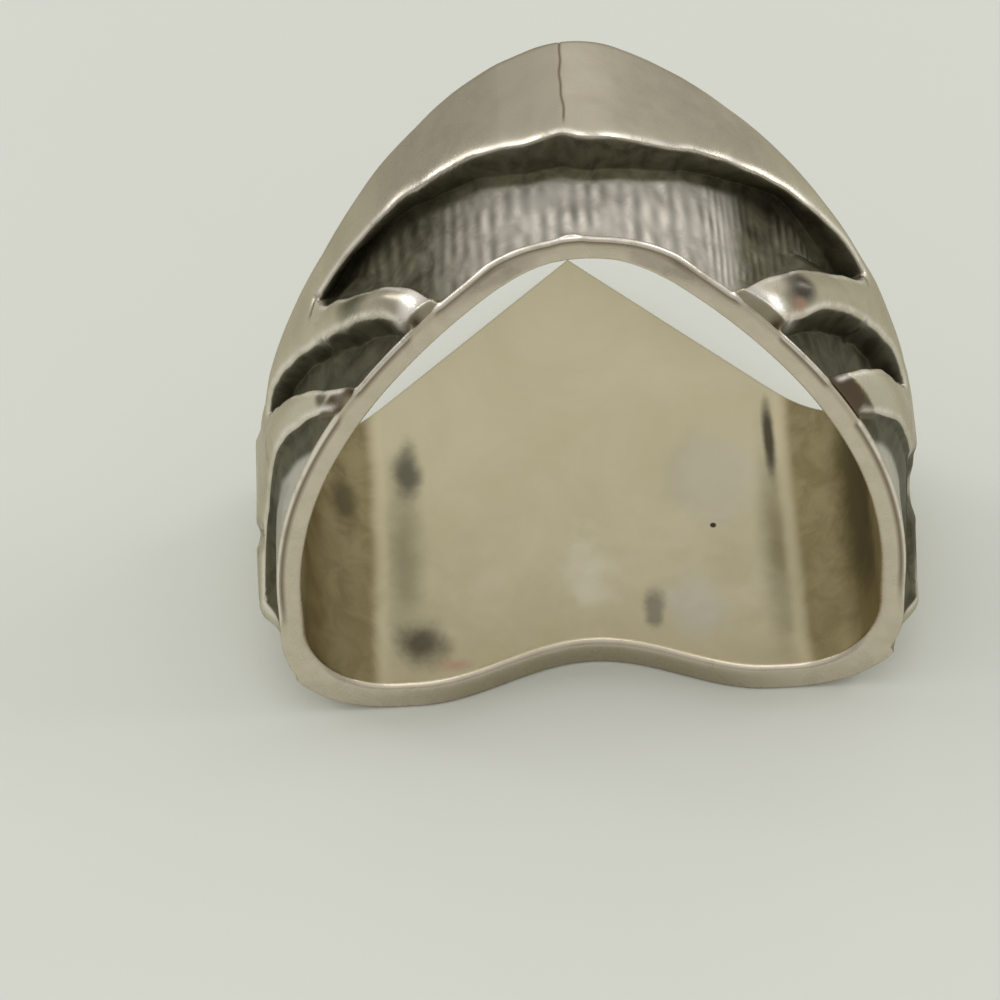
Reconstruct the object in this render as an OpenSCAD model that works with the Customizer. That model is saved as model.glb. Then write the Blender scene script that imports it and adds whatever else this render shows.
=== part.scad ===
// A silver ring lying on its broad pointed plate: a pointed arch with swept cut-outs, soldered as one piece.
// Sizes are in millimetres. X runs across the ring, Y along the finger and Z up from the table.

/* [Finger hole] */
// half of the hole's width at its widest place
hole_half = 9.75; // [9:0.05:10.5]
// half of the flat floor's width
floor_half = 6.85; // [6:0.05:8]
// height of the widest place above the floor
wide_height = 4.5; // [3.8:0.1:6]
// height of the hole above the floor, under the peak
hole_height = 19; // [17:0.1:20]
// radius of the rounded peak in the hole
hole_peak_r = 5; // [2:0.1:6]

/* [Arch] */
// wall of the thin band under the raised layer, at the sides
band_wall = 0.85; // [0.6:0.05:1.2]
// wall of the thin band at the peak
band_peak = 0.8; // [0.6:0.05:1.2]
// floor left under a deep cut-out
cut_floor = 0.45; // [0.3:0.05:0.55]
// wall of the raised layer at the sides
raised_wall = 1.7; // [1.4:0.05:2.4]
// wall of the raised layer at the peak
raised_peak = 2.3; // [1.4:0.05:3.2]
// radius of the rounded peak outside
outer_peak_r = 3; // [1:0.1:8]
// wall left in the shallow end of the low cut-out
shallow_wall = 1.25; // [0.9:0.05:1.35]
// width of the lip kept along the near rim
lip = 0.2; // [0.1:0.05:0.6]
// how far the tongues stop behind the near rim
tongue_back = 0.2; // [0.1:0.05:0.4]

/* [Plate] */
// length of the plate from the near edge to its point
plate_length = 19.2; // [17:0.1:20.4]
// thickness of the plate
plate_thick = 1.2; // [0.9:0.05:2]
// how far the point falls back for each millimetre sideways
point_slope = 0.95; // [0.7:0.01:1.3]
// depth of the wave in the near edge
wave_depth = 1.5; // [0.5:0.05:3]
// half of the wave's width
wave_half = 6.1; // [4:0.1:7.5]

/* [Hidden] */
$fn = 96;
arc_steps = 240;
wave_steps = 24;
// Length of the cutting bars, well past the ring on every side.
reach = 60;
silver = [0.66, 0.63, 0.57];

// Side view of the two rims. Column one is Y from the near edge, column two the height above the floor.
near_rim = [
    [0, -2], [0, 0.5], [0.3, 3], [0.5, 6], [0.7, 9], [0.9, 12],
    [1.3, 15], [1.75, 17], [2.2, 18.4], [2.65, 19.4], [3, 22.5]
];
far_rim = [
    [20.5, 0.1], [12.8, 0.12], [11.6, 0.35], [10.4, 1.2], [9, 2.9], [7.8, 4.6], [6.8, 6.6], [6.3, 8.8],
    [6.6, 11], [7.2, 13.3], [7.9, 15.2], [8.6, 16.7], [9.25, 18.2], [9.75, 19.6], [10, 21], [10.05, 22.5]
];

// The low cut-out, a scoop in two steps: the shallow one runs on to the back, the deep one is near the rim.
shallow_cut = [
    [-1, 14.3], [0.95, 13.8], [1.4, 13.2], [1.95, 12.2], [2.4, 11.1], [2.7, 9.9], [2.95, 8.7], [3.1, 7.7],
    [3.4, 6.8], [3.8, 5.9], [4.5, 4.9], [5.2, 3.7], [5.4, 2.8], [4.7, 2.8], [3.8, 3.1], [3, 3.3],
    [2.3, 3.2], [1.6, 2.9], [0.5, 2.75], [-1, 2.75]
];
deep_cut = [
    [-1, 13.9], [0.95, 13.3], [1.3, 12.4], [1.6, 11.4], [1.95, 10.2], [2.25, 8.9], [2.45, 7.6],
    [2.45, 6.4], [2.25, 5.2], [1.95, 4.2], [1.6, 3.4], [0.5, 3], [-1, 3]
];
// The small cut-out above the last tip.
foot_cut = [[-1, 2], [0.9, 1.95], [1.5, 1.7], [1.9, 1.25], [2.1, 0.85], [1.5, 0.6], [-1, 0.6]];

// The two pairs of claws. Column one is Y, column two the angle up the arch from its side, on a circle of
// claw_radius. The top pair meets over the peak and makes one cut-out.
top_tilt = 60;
top_upper = [
    [5.8, 99.5], [5.95, 91], [6.35, 83], [6.6, 76], [6.75, 69],
    [6.75, 62], [6.65, 55], [6.45, 49], [6.2, 44.5]
];
top_lower = [
    [6.2, 44.5], [5.5, 48], [4.8, 53], [3.9, 58.5], [2.9, 64.5],
    [2, 69], [1.3, 71.5], [-1, 75], [-1, 99.5]
];
second_tilt = 40;
second_upper = [
    [-1, 73], [0.8, 70.5], [1.25, 68.4], [1.9, 65.2], [2.55, 60.7], [3.2, 55.6],
    [3.8, 49.5], [4.5, 42.4], [5, 35.4], [5.3, 29.7], [5.4, 24.2]
];
second_lower = [[5.4, 24.2], [4.6, 28.5], [3.6, 35], [2.5, 41], [1.4, 46.5], [0.35, 52], [-1, 55]];
// Distance from the arch's centre to the claws' outlines on the raised layer, and to where their cut starts.
claw_radius = 13.3;
claw_start = 4;

// A smooth curve through a list of points, with a number of steps between each two.
function bend(a, b, c, d, t) = 0.5 * (2 * b + (c - a) * t + (2 * a - 5 * b + 4 * c - d) * t * t
    + (3 * b - a - 3 * c + d) * t * t * t);
function smooth(p, steps = 4) = concat(
    [for (i = [0 : len(p) - 2], j = [0 : steps - 1])
        bend(p[max(i - 1, 0)], p[i], p[i + 1], p[min(i + 2, len(p) - 1)], j / steps)],
    [p[len(p) - 1]]);
function turned(p) = [for (i = [len(p) - 1 : -1 : 0]) p[i]];

// Radius of a side arc that starts upright at the widest place and runs smoothly into the rounded peak.
function side_r(half, rise, peak_r) = (pow(rise - peak_r, 2) / (half - peak_r) + peak_r + half) / 2;

// The pointed arch above the widest place: two side arcs and the rounded peak between them.
module arch(half, rise, peak_r) {
    r = side_r(half, rise, peak_r);
    meet = (rise - peak_r) * r / (r - peak_r);
    translate([0, wide_height])
        intersection() {
            translate([half - r, 0])
                circle(r = r, $fn = arc_steps);
            translate([r - half, 0])
                circle(r = r, $fn = arc_steps);
            translate([-reach / 2, 0])
                square([reach, meet]);
        }
    translate([0, wide_height + rise - peak_r])
        circle(r = peak_r);
}

// Outline of the hole or of a layer: a flat foot with rounded corners under the arch.
module outline(half, bottom, rise, peak_r) {
    corner = half - floor_half;
    translate([-floor_half, bottom])
        square([2 * floor_half, wide_height - bottom]);
    translate([-half, bottom + corner])
        square([2 * half, wide_height - bottom - corner]);
    for (side = [-1, 1])
        translate([side * floor_half, bottom + corner])
            circle(r = corner);
    arch(half, rise, peak_r);
}

module hole() {
    outline(hole_half, 0, hole_height - wide_height, hole_peak_r);
}

module layer(side, peak, peak_r) {
    outline(hole_half + side, -plate_thick, hole_height - wide_height + peak, peak_r);
}

// Turns a drawing of the ring's front into a bar along the finger.
module along_finger() {
    translate([0, reach / 2, 0])
        rotate([90, 0, 0])
            linear_extrude(height = reach)
                children();
}

// Turns a drawing in side view, Y and Z, into a bar across the ring.
module across() {
    translate([-reach / 2, 0, 0])
        rotate([90, 0, 90])
            linear_extrude(height = reach)
                children();
}

// Both claws of a pair. Each is cut square to the arch at its own tilt.
module claws(upper, lower, tilt) {
    edge = concat(smooth(upper), smooth(lower));
    for (side = [0, 1])
        mirror([side, 0, 0])
            translate([0, 0, wide_height])
                rotate([0, -tilt, 0])
                    translate([claw_start, 0, 0])
                        rotate([90, 0, 90])
                            linear_extrude(height = reach)
                                polygon([for (p = edge) [p[0], claw_radius * sin(p[1] - tilt)]]);
}

// Everything between the near rim, moved back by some amount, and the far rim.
module side_shape(back = 0) {
    near = [for (p = smooth(near_rim, 3)) [p[0] + back, p[1]]];
    foot = -plate_thick - 1;
    across()
        polygon(concat([[back, foot]], near, turned(smooth(far_rim, 2)), [[far_rim[0][0], foot]]));
}

// Plan of the plate: the wave in its near edge and the point at its far end.
module plan_shape() {
    wave = [for (i = [0 : wave_steps]) let (x = wave_half * (2 * i / wave_steps - 1))
        [x, wave_depth * (0.5 + 0.5 * cos(180 * x / wave_half))]];
    translate([0, 0, -reach / 2])
        linear_extrude(height = reach)
            intersection() {
                polygon(concat([[-reach, 0]], wave, [[reach, 0], [reach, reach], [-reach, reach]]));
                polygon([
                    [0, plate_length],
                    [reach, plate_length - point_slope * reach],
                    [-reach, plate_length - point_slope * reach]
                ]);
            }
}

module top_cut() {
    claws(top_upper, top_lower, top_tilt);
}

module second_cut() {
    claws(second_upper, second_lower, second_tilt);
}

module low_cut() {
    across()
        polygon(smooth(deep_cut, 3));
    across()
        polygon(smooth(foot_cut));
    difference() {
        across()
            polygon(smooth(shallow_cut, 3));
        along_finger()
            layer(shallow_wall, shallow_wall, hole_peak_r + shallow_wall);
    }
}

// The thick layer with the swept cut-outs, which stands out as the tongues down both sides.
module raised() {
    difference() {
        along_finger()
            layer(raised_wall, raised_peak, outer_peak_r);
        top_cut();
        second_cut();
        low_cut();
    }
}

// The thin band, sunk a little under the upper cut-outs so that a lip stands along the near rim.
module band() {
    difference() {
        along_finger()
            layer(band_wall, band_peak, hole_peak_r + band_peak);
        difference() {
            intersection() {
                union() {
                    top_cut();
                    second_cut();
                }
                side_shape(lip);
            }
            along_finger()
                layer(cut_floor, cut_floor, hole_peak_r + cut_floor);
        }
    }
}

module ring() {
    color(silver)
        translate([0, -plate_length / 2, plate_thick])
            intersection() {
                difference() {
                    union() {
                        band();
                        intersection() {
                            raised();
                            side_shape(tongue_back);
                        }
                    }
                    along_finger()
                        hole();
                }
                side_shape();
                plan_shape();
            }
}

ring();
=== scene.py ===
# %% [markdown]
# # A worn silver ring with a pointed arch
# The ring lies on its broad plate, which ends in a point behind it. Swept cut-outs run down both sides of the
# arch. The metal between them is worn bright, with painted highlights on its edges, and the metal inside them
# has gone dark, with painted shade on the walls of the low ones. The imported solid gives the sizes, and
# everything made here fits it.

# %% Load the frame
import math

import bpy
import numpy as np
from mathutils import Matrix, Vector


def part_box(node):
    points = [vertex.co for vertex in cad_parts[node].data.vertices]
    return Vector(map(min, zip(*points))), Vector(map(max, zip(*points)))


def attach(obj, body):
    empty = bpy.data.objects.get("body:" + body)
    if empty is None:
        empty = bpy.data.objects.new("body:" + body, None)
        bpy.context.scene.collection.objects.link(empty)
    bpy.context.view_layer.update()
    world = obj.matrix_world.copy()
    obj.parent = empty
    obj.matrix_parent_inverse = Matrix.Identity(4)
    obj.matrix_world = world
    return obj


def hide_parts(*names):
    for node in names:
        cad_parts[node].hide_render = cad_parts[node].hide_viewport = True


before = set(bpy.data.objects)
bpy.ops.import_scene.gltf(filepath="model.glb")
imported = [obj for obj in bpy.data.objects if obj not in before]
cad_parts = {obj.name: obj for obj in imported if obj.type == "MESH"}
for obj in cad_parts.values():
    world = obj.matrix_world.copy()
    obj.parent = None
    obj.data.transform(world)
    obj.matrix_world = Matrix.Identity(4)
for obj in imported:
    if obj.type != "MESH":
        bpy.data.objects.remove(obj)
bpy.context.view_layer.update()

MM = 0.001
ring_low, ring_high = (np.array(corner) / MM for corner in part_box("ring"))
print("ring box in mm:", ring_low.round(2), ring_high.round(2))

# %% [markdown]
# ## Sizes
# All sizes are in millimetres, in the ring's own measures: Y counts from the near edge along the finger, and
# heights count from the inner floor of the plate. The middle of the arch is a point above the floor, where
# the hole is widest. Every outline is given as its distance from that point in the direction of an angle, 0
# at the side, 90 at the peak and -90 under the plate.

# %% Sizes of the ring
# The hole: half its width and half its flat floor, how high it is widest, its height and its peak's radius.
hole_half, floor_half, wide_height = 9.75, 6.85, 4.5
hole_height, hole_peak_r = 19.0, 5.0
# The plate, its point and the wave in its near edge.
plate_thick, plate_length = 1.2, ring_high[1] - ring_low[1]
point_slope, wave_depth, wave_half = 0.95, 1.5, 6.1
# Metal round the hole: under the deep cut-outs, in the thin band, under the hollow, and in the raised layer.
cut_floor, band_wall, band_peak, shallow_wall = 0.45, 0.85, 0.8, 1.25
raised_wall = ring_high[0] - hole_half
raised_peak = ring_high[2] - plate_thick - hole_height
raised_peak_r = 3.0
lip = 0.2
print("raised layer in mm:", round(raised_wall, 3), "at the side,", round(raised_peak, 3), "at the peak")

# Side view of the two rims. Column one is Y from the near edge, column two the height above the floor.
near_rim = [
    (0, -2), (0, 0.5), (0.3, 3), (0.5, 6), (0.7, 9), (0.9, 12),
    (1.3, 15), (1.75, 17), (2.2, 18.4), (2.65, 19.4), (3, 22.5)]
far_rim = [
    (20.5, 0.1), (12.8, 0.12), (11.6, 0.35), (10.4, 1.2), (9, 2.9), (7.8, 4.6), (6.8, 6.6), (6.3, 8.8),
    (6.6, 11), (7.2, 13.3), (7.9, 15.2), (8.6, 16.7), (9.25, 18.2), (9.75, 19.6), (10, 21), (10.05, 22.5)]


# %% Curves and outlines
def smooth_curve(points, steps=4):
    """A smooth curve through the points: a cubic between each two, with slopes from their neighbours."""
    p = np.array(points, float)
    a, b, c, d = p[np.r_[0, 0:len(p) - 2]], p[:-1], p[1:], p[np.r_[2:len(p), len(p) - 1]]
    t = (np.arange(steps) / steps)[:, None, None]
    bent = 0.5 * (2 * b + (c - a) * t + (2 * a - 5 * b + 4 * c - d) * t**2 + (3 * b - a - 3 * c + d) * t**3)
    return np.vstack([bent.transpose(1, 0, 2).reshape(-1, 2), p[-1:]])


def follow(value, table):
    """Reads a table of two columns at a value of its first column."""
    return np.interp(value, *np.array(table).T)


def smoothstep(value, start, end):
    """0 before start, 1 after end, and a smooth S between them."""
    t = np.clip((value - start) / (end - start), 0, 1)
    return t * t * (3 - 2 * t)


def ridge(value, middle, width):
    """A smooth hump, 1 at the middle, that is gone about two widths away."""
    return np.exp(-(((value - middle) / width) ** 2))


def outline_radius(angle, half, foot, rise, peak_r):
    """Distance from the arch's middle to an outline, by angle. The outline is a flat foot, a quarter-round
    corner, an upright side, a side arc that starts upright, and a peak arc that the side arc runs into."""
    corner = half - floor_half
    foot_z = foot - wide_height
    arc_r = ((rise - peak_r) ** 2 / (half - peak_r) + peak_r + half) / 2
    meet = (rise - peak_r) * arc_r / (arc_r - peak_r), (arc_r - half) * peak_r / (arc_r - peak_r)
    across, up = np.cos(angle), np.sin(angle)

    def to_circle(x, z, r):
        along = x * across + z * up
        return along + np.sqrt(np.maximum(along**2 - x**2 - z**2 + r**2, 0))

    with np.errstate(divide="ignore"):
        return np.select(
            [angle > math.atan2(*meet), angle > 0,
             angle > math.atan2(foot_z + corner, half), angle > math.atan2(foot_z, floor_half)],
            [to_circle(0, rise - peak_r, peak_r), to_circle(half - arc_r, 0, arc_r),
             half / across, to_circle(floor_half, foot_z + corner, corner)],
            foot_z / up)


def layer_radius(angle, wall, peak, peak_r):
    """The outline of a layer that stands out from the hole by wall at its sides and by peak at its peak."""
    return outline_radius(angle, hole_half + wall, -plate_thick, hole_height - wide_height + peak, peak_r)


# %% [markdown]
# ## The grid
# The ring is one grid that closes on itself both ways. Columns go round the arch from under the plate, up the
# left side, over the peak and down the right side. Rows go once round the wall: over the outside, round the
# far rim, back through the hole and round the near rim. A column's place is its signed length round the
# raised layer from the peak, negative on the left. Columns lie closer where the cut-outs are, and closest at
# the solder seam.

# %% Columns of the grid
column_count = 744
seam_at = -0.4
fine_angle = np.radians(np.linspace(-90, 90, 9001))
fine_radius = layer_radius(fine_angle, raised_wall, raised_peak, raised_peak_r)
fine_x, fine_z = fine_radius * np.cos(fine_angle), fine_radius * np.sin(fine_angle)
fine_arc = np.r_[0, np.cumsum(np.hypot(np.diff(fine_x), np.diff(fine_z)))]
half_turn = fine_arc[-1]

# How close the columns lie: under the plate, and what the sides, the arch and the seam add to it.
under_density, side_density, arch_density, seam_density = 0.2, 0.5, 0.5, 1.6
fine_turn = np.linspace(-half_turn, half_turn, 20001)
fine_height = np.interp(half_turn - np.abs(fine_turn), fine_arc, fine_z) + wide_height
density = under_density + side_density * smoothstep(fine_height, -1.15, -0.3)
density = density + arch_density * smoothstep(fine_height, 6, 10)
density = density + seam_density * ridge(fine_turn, seam_at, 0.25)
along = np.r_[0, np.cumsum((density[1:] + density[:-1]) / 2)]
turn = np.interp(np.arange(column_count) / column_count * along[-1], along, fine_turn)
side = np.where(turn < 0, -1.0, 1.0)
angle = np.interp(half_turn - np.abs(turn), fine_arc, fine_angle)
gaps = np.diff(turn)
print("columns:", column_count, "of", round(gaps.min(), 3), "to", round(gaps.max(), 3), "mm")

hole_r = outline_radius(angle, hole_half, 0, hole_height - wide_height, hole_peak_r)[:, None]
floor_r = layer_radius(angle, cut_floor, cut_floor, hole_peak_r + cut_floor)[:, None]
band_r = layer_radius(angle, band_wall, band_peak, hole_peak_r + band_peak)[:, None]
shallow_r = layer_radius(angle, shallow_wall, shallow_wall, hole_peak_r + shallow_wall)[:, None]
raised_r = layer_radius(angle, raised_wall, raised_peak, raised_peak_r)[:, None]
turn, side, angle = turn[:, None], side[:, None], angle[:, None]

# %% [markdown]
# ## The cut-outs
# A cut-out is a closed outline drawn on the unrolled outside of the raised layer: Y one way and the length
# round the arch the other. How deep the metal lies at a point follows from how far inside the outline it is,
# so one smooth step gives both the rounded edge above and the wall below it.

# %% Outlines of the cut-outs
# Every table has a row for the left side, -1, and one for the right side, 1.
# Edges of the top cut-out. Column one is Y, column two the angle up the arch.
top_upper = {
    -1: [(5.8, 90), (5.95, 84), (6.4, 78), (6.55, 72), (6.55, 66), (6.4, 60), (6.2, 55), (6.05, 51),
         (5.9, 47.5)],
    1: [(5.8, 90), (5.95, 84), (6.45, 77), (6.85, 70), (7.05, 62), (7.05, 54), (6.85, 46), (6.5, 42.5)]}
top_lower = {
    -1: [(5.9, 47.5), (5.3, 49.5), (4.95, 53), (4.5, 57), (3.85, 62), (3.3, 66), (2.6, 69), (2.1, 70.8),
         (1, 72.5), (-1, 74)],
    1: [(6.5, 42.5), (5.9, 44.5), (5.15, 51), (4.25, 58), (3.35, 63.5), (2.5, 68), (2.05, 70.2),
        (1, 72), (-1, 74)]}
# The second cut-out, in the same columns, from the rim up its upper edge and back down its lower edge.
second_edge = {
    -1: [(-1, 70), (0.6, 69.2), (1.2, 68.3), (1.85, 66.2), (2.5, 62.7), (3.05, 59.2), (3.6, 53.9), (4.15, 47),
         (4.75, 40), (5.15, 34), (5.4, 28), (5.4, 22), (4.7, 27.5), (3.9, 34.5), (3.2, 40.5), (2.35, 46.5),
         (1.7, 51.5), (1.35, 54), (0.8, 55.5), (-1, 57)],
    1: [(-1, 66), (0.8, 65), (1.3, 63.5), (2, 60.7), (2.6, 57.4), (3.3, 53.3), (4.0, 47.5), (4.7, 39.7),
        (5.2, 32.3), (5.5, 26), (5.5, 20), (4.6, 26.5), (3.2, 38), (2.1, 46), (1.4, 50.5), (0.8, 52),
        (-1, 54)]}
# A short crease that runs on from each end of the top cut-out, in the same columns.
crease = {-1: [(5.9, 48), (6.0, 47), (5.8, 46.2), (5.45, 45.4)], 1: [(6.5, 42.7), (6.4, 42.2), (6.25, 41.9)]}
# The low cut-outs. Column one is Y, column two the height above the floor.
low_cut = {
    -1: [(-1, 15), (0.95, 14.6), (1.4, 14), (1.9, 13), (2.3, 11.9), (2.6, 10.6), (2.85, 9.3), (3, 8.2),
         (3.1, 7), (3, 5.8), (2.75, 4.9), (2.25, 4.1), (1.5, 3.6), (0.5, 3.4), (-1, 3.4)],
    1: [(-1, 13.4), (0.95, 12.9), (1.4, 12.3), (1.95, 11.4), (2.45, 10.4), (2.85, 9.3), (3.2, 8.3),
        (3.6, 7.3), (4, 6.2), (4.2, 5), (4, 3.8), (3.3, 2.9), (2.3, 2.4), (1.4, 2.15), (0.5, 2.1), (-1, 2.1)]}
# A shallow hollow that runs on from each low cut-out to the back, in the same columns.
hollow = {
    -1: [(1.6, 7.2), (2.6, 6.2), (3.4, 5.3), (4.2, 4.2), (4.9, 3.1), (5.2, 2.4), (4.4, 2.8), (3.5, 3.7),
         (2.6, 4.5), (1.6, 5)],
    1: [(1.6, 8.2), (2.7, 7.9), (3.8, 7), (4.9, 5.7), (5.7, 4.2), (6, 2.6), (5.2, 2.3), (4.2, 2.8),
        (3.1, 3.4), (1.8, 3.7)]}
# The small cut-outs above the last tips, in the same columns.
foot_cut = {
    -1: [(-1, 2.7), (0.9, 2.65), (1.5, 2.2), (1.9, 1.5), (2.1, 0.9), (1.5, 0.6), (-1, 0.6)],
    1: [(-1, 1.15), (0.9, 1.15), (1.6, 1.05), (2.1, 0.9), (2.2, 0.75), (1.5, 0.6), (-1, 0.6)]}


def by_angle(points, side):
    """Lays points given by Y and angle on the unrolled raised layer."""
    placed_at = np.interp(np.radians(points[:, 1]), fine_angle, fine_arc)
    return np.column_stack([points[:, 0], side * (half_turn - placed_at)])


def by_height(points, side):
    """Lays points given by Y and height on the unrolled raised layer."""
    upper = fine_angle > math.radians(-39)
    placed_at = np.interp(points[:, 1], fine_z[upper] + wide_height, fine_arc[upper])
    return np.column_stack([points[:, 0], side * (half_turn - placed_at)])


top_outline = np.vstack([by_angle(smooth_curve(table[s]), s)[::order] for table, s, order in (
    (top_lower, -1, -1), (top_upper, -1, -1), (top_upper, 1, 1), (top_lower, 1, 1))])
outlines = {"top": [top_outline]}
outlines["second"] = [by_angle(smooth_curve(second_edge[s]), s) for s in (-1, 1)]
for name, table in (("low", low_cut), ("hollow", hollow), ("foot", foot_cut)):
    outlines[name] = [by_height(smooth_curve(table[s], 3), s) for s in (-1, 1)]
crease_curves = [by_angle(smooth_curve(crease[s]), s) for s in (-1, 1)]
crease_lines = [np.vstack([line, line[::-1]]) for line in crease_curves]
print("cut-outs:", ", ".join(f"{len(lines)} {name}" for name, lines in outlines.items()))


def depth_inside(y, length, outline):
    """Distance from each point to a closed outline, positive inside it and negative outside."""
    nearest = np.full(y.shape, np.inf)
    inside = np.zeros(y.shape, bool)
    for (y0, s0), (y1, s1) in zip(outline, np.roll(outline, -1, axis=0)):
        dy, ds = y1 - y0, s1 - s0
        size = dy * dy + ds * ds
        if size == 0:
            continue
        t = np.clip(((y - y0) * dy + (length - s0) * ds) / size, 0, 1)
        nearest = np.minimum(nearest, (y - y0 - t * dy) ** 2 + (length - s0 - t * ds) ** 2)
        if ds:
            inside ^= ((s0 > length) != (s1 > length)) & (y < y0 + (length - s0) * dy / ds)
    return np.where(inside, 1, -1) * np.sqrt(nearest)


def bumps(seed, y, length, sizes, count=9):
    """Gentle unevenness from a hand-worked surface: a sum of long waves in random directions."""
    random = np.random.default_rng(seed)
    spans = (0, np.pi), (0, 2 * np.pi), sizes
    turns, phases, waves = (random.uniform(*span, count) for span in spans)
    total = sum(np.sin(2 * np.pi * (y * math.sin(t) + length * math.cos(t)) / w + p)
                for t, p, w in zip(turns, phases, waves))
    return total / math.sqrt(count)


# %% [markdown]
# ## Rims
# The near rim follows its side view and the wave in the plate's edge, and the far rim follows its side view
# and the plate's point. Both are a little rounded by wear.

# %% Where the rims lie
near_curve, far_curve = smooth_curve(near_rim, 3), smooth_curve(far_rim, 2)
left_cut_back = 0.35


def near_y(x, height):
    """Y of the near rim: the side view's value, or the wave's where that is further back."""
    side_view = np.interp(height, near_curve[:, 1], near_curve[:, 0])
    wave = wave_depth * (0.5 + 0.5 * np.cos(np.pi * np.clip(x / wave_half, -1, 1)))
    return np.maximum(side_view, wave)


def far_y(x, height):
    """Y of the far rim: the side view's value, or the plate's point where that comes first. Half-way up the
    left side the rim lies a little further forward."""
    side_view = np.interp(height, far_curve[:, 1], far_curve[:, 0])
    side_view = side_view - left_cut_back * ridge(height, 8.5, 2.5) * smoothstep(-x, 5, 8)
    return np.minimum(side_view, plate_length - point_slope * np.abs(x))


def across_and_up(radius):
    """The signed place across the ring and the height above the floor, for a distance from the middle."""
    return side * radius * np.cos(angle), wide_height + radius * np.sin(angle)


# %% [markdown]
# ## The outside
# Every function here works on the whole grid at once. It takes each point's Y, its length round the arch, its
# height, or how far it lies behind the near rim, which is called back.

# %% Sizes of the outside
# How much fuller the raised layer is than the plain arch, on each side. Column one is the height.
fuller_by_height = {
    -1: [(2.5, 0), (5, -0.22), (6.5, -0.34), (8.5, -0.27), (10, -0.13), (12, -0.12), (14.5, -0.16),
         (17, -0.06), (18.4, -0.04), (19.4, 0.06), (20.4, 0.1), (21.3, 0)],
    1: [(0.6, 0), (1.5, 0.14), (2.1, 0.08), (2.6, 0), (6, 0), (7.5, -0.05), (9, 0), (10.6, 0.09),
        (12.2, 0.18), (14, 0.2), (15.5, 0.17), (17, 0.11), (18.5, 0.02), (21.3, 0)]}
layer_height = across_and_up(raised_r)[1]
fuller = np.where(side < 0, *(follow(layer_height, fuller_by_height[s]) for s in (-1, 1)))
# How far the floor runs on under the top edge. Column one is the length from the peak, column two how far.
undercut_by_length = [(0, 0.1), (3, 0.1), (5, 0.3), (7.7, 0.7), (10, 1.0), (12, 0.6)]
# Where the paler floor of the low cut-outs ends. Column one is the height, column two Y.
pale_floor_edge = [(2, 1.15), (3.2, 1.3), (4.2, 1.7), (5, 2.2), (7, 2.7), (9.2, 2.25), (11, 1.75), (12.4, 1.1)]

# The cut-outs with walls. Only the hollow has none.
walled = ("top", "second", "low", "foot")
# How round the far rim and the edges of the cut-outs are, and how far the walls run.
far_round, edge_round, wall_run = 0.22, 0.05, 0.12
# How uneven hand work left the edges, the raised layer and the sunk floor.
edge_shake, layer_shake, floor_shake = 0.03, 0.012, 0.02
# The dent in the top edge left of the seam, and the swelling right of it.
edge_dent, edge_swelling = 0.17, 0.05
# How much of the top wall its fillet takes up, and how much of the low cut-out's depth its scoop takes up.
fillet_share, scoop_share = 0.16, 0.65
# Crown of the raised layer: how far neighbouring edges blend, the crown at the back, and what tongues add.
blend_run, flat_crown, tongue_crown = 0.12, 0.13, 0.17
# Heights over which the last tips give way to long tongues, and over which the third tongues begin.
long_span, third_span = (6.5, 9), (15.2, 14.2)
# How far the last tips stand out at the plate's corners, and the height of the nib of solder.
left_corner, right_corner, nib_height = 0.12, 0.24, 0.13
seam_depth, crease_depth = 0.025, 0.05
rib_pitch, rib_height = 0.62, 0.022


# %% Depths and steps
def cut_depths(y, length):
    """How deep each point lies in each cut-out. The top edge has a dent beside the seam."""
    shaken = y + edge_shake * bumps(7, y, length, (1.3, 3.5))
    cut = {name: np.maximum.reduce([depth_inside(shaken, length, line) for line in lines])
           for name, lines in outlines.items()}
    dent = edge_dent * ridge(length, -0.5, 0.45) - edge_swelling * ridge(length, 0.45, 0.35)
    cut["top"] = cut["top"] + dent * smoothstep(y, 4.8, 5.6)
    return cut


def cut_steps(cut, height):
    """How far down each point lies in each cut-out, from 0 on the raised layer to 1 on the floor, and how far
    it is past the edge of any. A fillet runs along the foot of the top wall. The low cut-out is scooped."""
    step = {name: smoothstep(depth, -edge_round, wall_run) for name, depth in cut.items()}
    step["top"] = (1 - fillet_share) * step["top"] + fillet_share * smoothstep(cut["top"], 0.0, 0.5)
    inside_cut = np.maximum.reduce([step[name] for name in walled])
    left_run, right_run = 0.35 + 0.65 * smoothstep(height, 7, 9), 1.0 + 0.5 * smoothstep(height, 8, 6)
    scoop = smoothstep(cut["low"], 0.0, np.where(side < 0, left_run, right_run))
    step["low"] = (1 - scoop_share) * step["low"] + scoop_share * scoop
    step["hollow"] = smoothstep(cut["hollow"], -0.15, 0.45)
    return step, inside_cut


def nearest_cut(cut):
    """How far each point lies inside the nearest cut-out with walls, negative between them."""
    return np.maximum.reduce([cut[name] for name in walled])


def tongue_ends(height):
    """Where the long tongues are, where the third ones and the tips are, and how far behind the near rim
    their ends have risen."""
    long_tongue, third = smoothstep(height, *long_span), smoothstep(height, *third_span)
    return long_tongue, third, 0.38 + 0.38 * third


# %% Heights of the metal
def tongue_rise(height, back):
    """How far the raised layer has come up from the band behind the near rim, where the tongues end."""
    long_tongue, third, rise_run = tongue_ends(height)
    rise = smoothstep(back, 0.02 + 0.15 * third, rise_run)
    rise = rise * (1 - 0.60 * long_tongue * (1 - smoothstep(back, 0.35, 2.2)))
    rise = rise + (1 - long_tongue) * (smoothstep(back, 0.05, 1.2) - rise)
    return 1 + (rise - 1) * smoothstep(height, -1.0, -0.1)


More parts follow.
